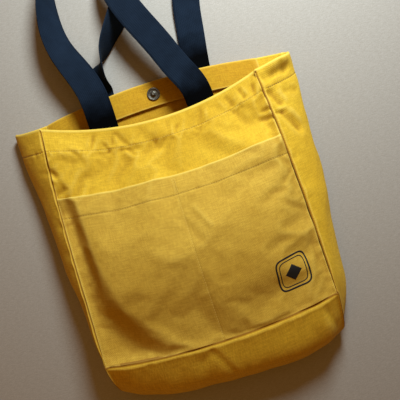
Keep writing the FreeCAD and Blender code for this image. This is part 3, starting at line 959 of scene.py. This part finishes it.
def pocket_relief(u, v):
    """The pocket follows the front's folds, with its own hem, and a shallow valley along its divider."""
    from_top = POCKET_TOP - v * LENGTH
    x = front_face(u, v)[..., 0]
    h = folded_front(u, v) + POCKET_PROUD * ease((55 - from_top) / 55) * ease(side_distance(u) / 6)
    h += 0.4 * ease((POCKET_HEM + 0.8 - from_top) / 1.6) - 0.5 * bump(from_top - POCKET_HEM, 1.0)
    h -= 0.35 * bump(u * HALF_BASE, 1.4) * ease((from_top - 1.0) / 4.0)
    return h + gathers(x, from_top - POCKET_HEM, SPAN_ACROSS, seed=41, height=0.7, wave=14.0, reach=6.0)


def front_pocket():
    u = steps_across(2 * HALF_BASE, [HALF_BASE]) / HALF_BASE - 1
    v = steps_across(POCKET_TOP, [POCKET_TOP - POCKET_HEM]) / LENGTH
    uu, vv = np.meshgrid(u, v)
    grid, out = pocket_side(uu, vv)
    grid, flat = rolled_hem(grid, flat_front(uu, vv), -out, POCKET_ROLL, POCKET_HEM)
    seams = side_distance(uu), vv * LENGTH
    nodes = ("front_pocket",)
    return sewn_piece("pocket_canvas", nodes, "pocket", grid, flat, POCKET_TOP, seams, POCKET_CLOTH)


def gusset_piece(side):
    g = steps_across(GUSSET_GIRTH) / GUSSET_GIRTH
    v = steps_across(LENGTH, [LENGTH - HEM_LINE[side]]) / LENGTH
    gg, vv = np.meshgrid(g if side == "right" else g[::-1], v)
    grid, out = gusset_side(side, gg, vv)
    flat = np.stack([gg * GUSSET_GIRTH, vv * LENGTH], -1)
    grid, flat = rolled_hem(grid, flat, -out)
    seams = gg * GUSSET_GIRTH, (1 - gg) * GUSSET_GIRTH
    nodes = f"{side}_gusset", f"facing_{side}"
    return sewn_piece(f"{side}_gusset_canvas", nodes, "yellow", grid, flat, LENGTH, seams)


def base_piece():
    u = steps_across(2 * HALF_BASE) / HALF_BASE - 1
    b = steps_across(BASE_GIRTH) / BASE_GIRTH
    uu, bb = np.meshgrid(u, b[::-1])
    grid, out = raised(base_face, base_relief, -1.0, uu, bb)
    grid += pinch(bb * BASE_GIRTH, side_distance(uu), BASE_LEAN)
    flat = np.stack([uu * HALF_BASE, bb * BASE_GIRTH], -1)
    seams = bb * BASE_GIRTH, side_distance(uu)
    return sewn_piece("base_canvas", ("base_panel",), "yellow", grid, flat, FAR, seams)


def back_face(u, v):
    """The back's outer side, flat on the surface that the bag lies on."""
    x = u * BACK_HALF
    return points(x, mix(BACK_SEAM_Y, back_rim_y(x), v), 0.05)


def back_piece():
    u = steps_across(2 * BACK_HALF, fine=1.2, coarse=3.2) / BACK_HALF - 1
    v = steps_across(PANEL_HEIGHT, [PANEL_HEIGHT - HEM], fine=1.2, coarse=3.0) / PANEL_HEIGHT
    uu, vv = np.meshgrid(u[::-1], v)
    grid = back_face(uu, vv)
    grid[..., 2] += back_lift(uu, vv)
    out = points(0 * uu, 0 * uu, -1)
    flat = np.stack([uu * BACK_HALF, vv * PANEL_HEIGHT], -1)
    grid, flat = rolled_hem(grid, flat, -out)
    nodes = "back_panel", "facing_back"
    return sewn_piece("back_canvas", nodes, "inside", grid, flat, PANEL_HEIGHT, [FAR + 0 * uu])


def snap_centre():
    """Centre of the visible snap half's lower side, in millimetres."""
    low, high = np.array(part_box("snap_post_cover")) / MM
    return [(low[0] + high[0]) / 2, (low[1] + high[1]) / 2, low[2]]


def back_lift(u, v):
    """How far the back's cloth rises off the surface, mostly along its free rim, and not at the snap."""
    x, y = u * BACK_HALF, v * PANEL_HEIGHT
    waves = 0.9 + 0.7 * ripple(x, y, 51, 76) + 0.4 * ripple(x, y, 52, 30)
    from_hem = PANEL_HEIGHT - HEM - y
    waves += gathers(x, from_hem, SPAN_ACROSS, seed=53, height=1.2, wave=17.0, reach=15.0)
    room = mix(0.8, 2.2, ease((np.abs(u) - 0.72) / 0.2))
    free = mix(0.4, 1.0, ease((v - 0.8) / 0.2)) * ease((1 - np.abs(u)) / 0.03) * ease(v / 0.03)
    snap_x, snap_y, _ = snap_centre()
    from_snap = np.hypot(x - snap_x, y + BACK_SEAM_Y - snap_y)
    return np.clip(waves, 0.0, room) * free * (1 - bump(from_snap, 22.0))


# ---- handles


def smooth_curve(knots, values, at):
    """Natural cubic spline through values at the knots, read at the places at."""
    gaps = np.diff(knots)
    count = len(knots)
    system = np.zeros((count, count))
    known = np.zeros((count, values.shape[1]))
    system[0, 0] = system[-1, -1] = 1.0
    slopes = np.diff(values, axis=0) / gaps[:, None]
    for i in range(1, count - 1):
        system[i, i - 1 : i + 2] = gaps[i - 1], 2 * (gaps[i - 1] + gaps[i]), gaps[i]
        known[i] = 6 * (slopes[i] - slopes[i - 1])
    bend = np.linalg.solve(system, known)
    i = np.clip(np.searchsorted(knots, at) - 1, 0, count - 2)
    left, right = (at - knots[i])[:, None], (knots[i + 1] - at)[:, None]
    gap = gaps[i][:, None]
    cubic = (bend[i] * right**3 + bend[i + 1] * left**3) / (6 * gap)
    start = (values[i] / gap - bend[i] * gap / 6) * right
    return cubic + start + (values[i + 1] / gap - bend[i + 1] * gap / 6) * left


def along_route(route, spacing=2.0):
    """Evenly spaced centre points, directions and turns, in radians, along a handle's route."""
    route = np.array(route, float)
    knots = run_along(route[:, :3])
    fine = smooth_curve(knots, route, np.linspace(0, knots[-1], 4000))
    run = run_along(fine[:, :3])
    at = np.linspace(0, run[-1], int(run[-1] / spacing))
    even = np.stack([np.interp(at, run, fine[:, k]) for k in range(4)], -1)
    heading = unit(np.gradient(even[:, :3], axis=0))
    return even[:, :3], heading, np.radians(even[:, 3]), at


def webbing_section():
    """Outline of the webbing: wide and flat, with a slightly thicker rounded selvedge at each edge."""
    half, thick = STRAP_WIDTH / 2, STRAP_THICK / 2
    s = np.linspace(-1, 1, 15)[1:-1]
    top = [(half * a * 0.985, thick * (0.94 + 0.10 * abs(a) ** 6)) for a in s]
    angles = np.linspace(math.pi / 2, -math.pi / 2, 6)
    right = [(half - thick + thick * math.cos(a), thick * math.sin(a)) for a in angles]
    bottom = [(x, -y) for x, y in top[::-1]]
    left = [(-x, y) for x, y in right[::-1]]
    return np.array(top + right + bottom + left)


def webbing(name, route, node, start_shade_cut=0.0):
    """A strip of webbing along a route, with painted shade at its ends; the last argument shortens the
    painted shade at its start.
    """
    centre, heading, turn, run = along_route(route)
    level = unit(np.cross((0.0, 0.0, 1.0), heading))
    lift = np.cross(heading, level)
    turn = turn + STRAP_WAVE * np.sin(run / STRAP_WAVE_LENGTH)
    across = level * np.cos(turn)[:, None] + lift * np.sin(turn)[:, None]
    face = lift * np.cos(turn)[:, None] - level * np.sin(turn)[:, None]
    section = webbing_section()
    grid = centre[:, None] + across[:, None] * section[None, :, :1] + face[:, None] * section[None, :, 1:]
    girth = run_along(section)
    flat = np.stack(np.broadcast_arrays(girth[None, :], run[:, None]), -1)
    piece = grid_piece(name, grid[:, ::-1], flat[:, ::-1], NAVY, thick=0, closed=True)
    # Distance from the ends, for the webbing's painted end shade
    ends = np.minimum(flat[..., 1] + start_shade_cut, run[-1] - flat[..., 1])
    add_uv(piece.data, "ends", np.stack([ends, 0 * ends], -1)[:, ::-1])
    return finish_piece(piece, "webbing", node)


def front_handle():
    places, out = front_side(np.array([-STRAP_AT, STRAP_AT]), 1 - STRAP_BELOW_RIM / LENGTH)
    start, end = [(*inside, 0) for inside in places - out * FRONT_STRAP_DEPTH]
    return webbing("front_handle_webbing", [start] + FRONT_HANDLE_ROUTE + [end], "front_handle")


def back_handle():
    x = STRAP_AT * BACK_HALF
    y = back_rim_y(x) - CANVAS
    route = [(-x, y, BACK_STRAP_Z, 0)] + BACK_HANDLE_ROUTE + [(x, y, BACK_STRAP_Z, 0)]
    return webbing("back_handle_webbing", route, "back_handle", start_shade_cut=BACK_HANDLE_SHADE_CUT)


# ---- stitching, snap and badge


def stitches(name, line, normal, thread=None, pitch=3.4, length=2.2, radius=0.46):
    """Stitches along a line of points: short rounded bars that dive into the cloth at their ends."""
    run = run_along(line)
    starts = np.arange(pitch / 2, run[-1] - length, pitch)
    rings, sides = 5, 6
    share = np.linspace(0, 1, rings)
    at = (starts[:, None] + share * length).ravel()
    centre = np.stack([np.interp(at, run, line[:, k]) for k in range(3)], -1).reshape(-1, rings, 3)
    out = unit(np.stack([np.interp(at, run, normal[:, k]) for k in range(3)], -1)).reshape(-1, rings, 3)
    side = np.cross(unit(centre[:, -1:] - centre[:, :1]), out)
    swell = np.sin(math.pi * (0.12 + 0.76 * share))[:, None]
    turn = -np.linspace(0, math.tau, sides, endpoint=False)[:, None]
    middle = centre + out * radius * (1.5 * swell - 0.9)
    ring = side[:, :, None] * np.cos(turn) + out[:, :, None] * np.sin(turn)
    place = middle[:, :, None] + radius * swell[:, None] * ring
    one = grid_faces(rings, sides, closed=True)
    faces = [[index + rings * sides * k for index in face] for k in range(len(starts)) for face in one]
    piece = link_mesh(name, place.reshape(-1, 3), faces)
    piece.data.materials.append(thread or THREAD)
    return finish_piece(piece, "canvas")


def pocket_side(u, v, lift=0.0):
    """Points and normals of the pocket's outer side."""
    grid, out = raised(front_face, pocket_relief, 1.0, u, v, lift)
    return grid + front_pinch(u, v), out


def front_side(u, v, lift=0.0):
    """Points and normals of the front panel's outer side."""
    grid, out = raised(front_face, folded_front, 1.0, u, v, lift)
    return grid + front_pinch(u, v), out


def gusset_side(side, g, v):
    """Points and normals of a gusset's outer side, with the tip that its fold makes at the rim."""
    grid, out = raised(partial(gusset_face, side), partial(gusset_relief, side), SIGN[side], g, v)
    grid += pinch(g * GUSSET_GIRTH, seam_end(v), SIDE_LEAN[side])
    tip = GUSSET_TIP[side] * np.exp(-np.abs(g - 0.46) / 0.12) * ease((v - 0.72) / 0.28)
    grid += tip[..., None] * np.array([SIGN[side] * 0.45, 0.9, 0.0])
    grid[..., 2] = np.maximum(grid[..., 2], 0.05)
    return grid, out


def front_stitching():
    """Stitches that move with the front: its hem, the pocket's hem, the pocket's divider and its bar."""
    across = np.linspace(-0.975, 0.975, 300)
    hem = 1 - hem_line(across) / LENGTH
    pocket_hem = POCKET_SHARE - POCKET_HEM / LENGTH + 0 * across
    up = np.linspace(0.012, POCKET_SHARE - 0.004, 240)
    bar = np.linspace(POCKET_SHARE - 0.075, POCKET_SHARE - 0.006, 30)
    rows = [
        stitches("front_hem_stitches", *front_side(across, hem)),
        stitches("pocket_hem_stitches", *pocket_side(across, pocket_hem)),
        stitches("pocket_divider_stitches", *pocket_side(0 * up, up), radius=0.36),
    ]
    for name, shift in (("left", -1.7), ("right", 1.7)):
        line, normal = pocket_side(0 * bar + shift / HALF_BASE, bar)
        rows.append(stitches(f"pocket_bar_{name}_stitches", line, normal, pitch=2.0, length=1.7))
    return rows


def gusset_stitching(side):
    g = np.linspace(0.03, 0.95, 120)
    line, normal = gusset_side(side, g, 1 - HEM_LINE[side] / LENGTH + 0 * g)
    # Darker thread: painted shade on the gusset stitches
    return stitches(f"{side}_gusset_stitches", line, normal, SHADED_THREAD)


def badge():
    """A plain geometric print on the pocket: a rounded square outline round a diamond."""
    turn = np.linspace(0, math.tau, 120, endpoint=False)
    square = BADGE_HALF / (np.abs(np.cos(turn)) ** 5 + np.abs(np.sin(turn)) ** 5) ** 0.2
    diamond = BADGE_DIAMOND / (np.abs(np.cos(turn)) + np.abs(np.sin(turn)))
    parts = []
    for name, outer, inner, rings in (
        ("badge_outline", square, square - BADGE_STROKE, 5),
        ("badge_inner_outline", square * 0.80, square * 0.80 - 0.55 * BADGE_STROKE, 5),
        ("badge_diamond", diamond, 0.02 + 0 * diamond, 12),
    ):
        reach = np.stack([mix(inner, outer, t) for t in np.linspace(0, 1, rings)])
        x, y = BADGE_X + reach * np.cos(turn), BADGE_Y + reach * np.sin(turn)
        grid, _ = pocket_side(x / HALF_BASE, y / LENGTH, 0.18)
        piece = grid_piece(name, grid[::-1], np.stack([x, y], -1)[::-1], INK, thick=0.3, closed=True)
        parts.append(finish_piece(piece, "canvas"))
    return parts


def smooth_profile(corners, count=5, radius=0.25):
    """Round the corners of a turned profile."""
    corners = np.array(corners, float)
    rounded = [corners[:1]]
    for before, here, after in zip(corners, corners[1:], corners[2:]):
        back, on = np.linalg.norm(before - here), np.linalg.norm(after - here)
        near = min(radius, back * 0.45, on * 0.45)
        start, end = here + (before - here) / back * near, here + (after - here) / on * near
        t = np.linspace(0, 1, count)[:, None]
        rounded.append((1 - t) ** 2 * start + 2 * t * (1 - t) * here + t * t * end)
    return np.concatenate(rounded + [corners[-1:]])


def turned_metal(name, corners, node):
    """A turned piece of the snap's visible half."""
    profile = smooth_profile(corners)
    radius, height = profile[:, :1], profile[:, 1:]
    turn = np.linspace(0, math.tau, 72, endpoint=False)
    grid = points(radius * np.cos(turn), radius * np.sin(turn), height) + np.array(snap_centre())
    flat = np.stack(np.broadcast_arrays(turn[None] * SNAP_RADIUS, height), -1)
    piece = grid_piece(name, grid, flat, NICKEL, thick=0, closed=True)
    return finish_piece(piece, "snap_metal", node)


def snap():
    return [
        turned_metal("snap_cover_metal", COVER_PROFILE, "snap_post_cover"),
        turned_metal("snap_post_metal", POST_PROFILE, "snap_post"),
    ]


def main():
    pieces = {
        "front": [front_panel(), front_pocket()] + front_stitching() + badge(),
        "bag": [back_piece()],
    }
    bending = [gusset_piece("left"), gusset_piece("right"), base_piece()]
    bending += [gusset_stitching("left"), gusset_stitching("right")]
    front_strap, back_strap = front_handle(), back_handle()
    pieces["bag"] += snap()
    for body, group in pieces.items():
        for piece in group:
            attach(piece, body)
    for piece in bending:
        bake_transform(piece)
    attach(front_strap, "front_strap")
    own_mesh(front_strap)
    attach(back_strap, "back_strap")
    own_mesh(back_strap)
    for name, node in frame["nodes"].items():
        if not node.hide_render:
            metal = FERRITE if name == "snap_socket_magnet" else NICKEL
            for slot in node.material_slots:
                slot.material = metal


def floor():
    corners = [(x * FLOOR_HALF, y * FLOOR_HALF, 0) for x, y in ((-1, -1), (1, -1), (1, 1), (-1, 1))]
    plane = link_mesh("floor", corners, [(0, 1, 2, 3)])
    plane.data.materials.append(paper_material())
    plane.location = (0, 0, -FLOOR_GAP * MM)


def area_light(name, place, target, size, power, colour):
    light = bpy.data.lights.new(name, "AREA")
    light.shape = "DISK"
    light.size = size
    light.energy = power
    light.color = colour
    lamp = link(name, light)
    lamp.location = place
    direction = np.array(target, float) - np.array(place, float)
    lamp.rotation_euler = Vector(direction).to_track_quat("-Z", "Y").to_euler()


def lights():
    area_light("window", (0.29, 0.60, 0.50), (0.02, 0.0, 0.0), 0.26, 9.8, (0.83, 0.95, 1.0))
    area_light("sky", (0.1, 0.9, 1.3), (0.0, 0.1, 0.0), 1.0, 0.8, (1.0, 0.85, 0.65))
    area_light("bounce", (-0.55, -0.50, 0.90), (0.0, 0.0, 0.0), 1.0, 1.1, (1.0, 0.50, 0.08))


def world():
    """A room that lights the bag warmly and dimly, but shows the camera a pale background."""
    room = bpy.data.worlds.new("room")
    room.use_nodes = True
    nodes, links = room.node_tree.nodes, room.node_tree.links
    warm, pale = nodes["Background"], nodes.new("ShaderNodeBackground")
    warm.inputs["Color"].default_value = (1.0, 0.45, 0.10, 1)
    warm.inputs["Strength"].default_value = 0.15
    pale.inputs["Color"].default_value = (0.42, 0.40, 0.37, 1)
    choose = nodes.new("ShaderNodeMixShader")
    ray = nodes.new("ShaderNodeLightPath")
    links.new(ray.outputs["Is Camera Ray"], choose.inputs["Fac"])
    links.new(warm.outputs["Background"], choose.inputs[1])
    links.new(pale.outputs["Background"], choose.inputs[2])
    links.new(choose.outputs["Shader"], nodes["World Output"].inputs["Surface"])
    bpy.context.scene.world = room
    bpy.context.scene.view_settings.view_transform = "Standard"


def camera():
    """Straight above the bag, turned so that the bag leans to the left, as it was photographed."""
    data = bpy.data.cameras.new("camera")
    data.sensor_width = SENSOR
    data.lens = SENSOR * CAMERA_HEIGHT / VIEW_WIDTH
    view = link("camera", data)
    view.location = CAMERA_PLACE
    view.rotation_euler = (0, 0, CAMERA_TURN)
    bpy.context.scene.camera = view


main()
floor()
lights()
world()
camera()
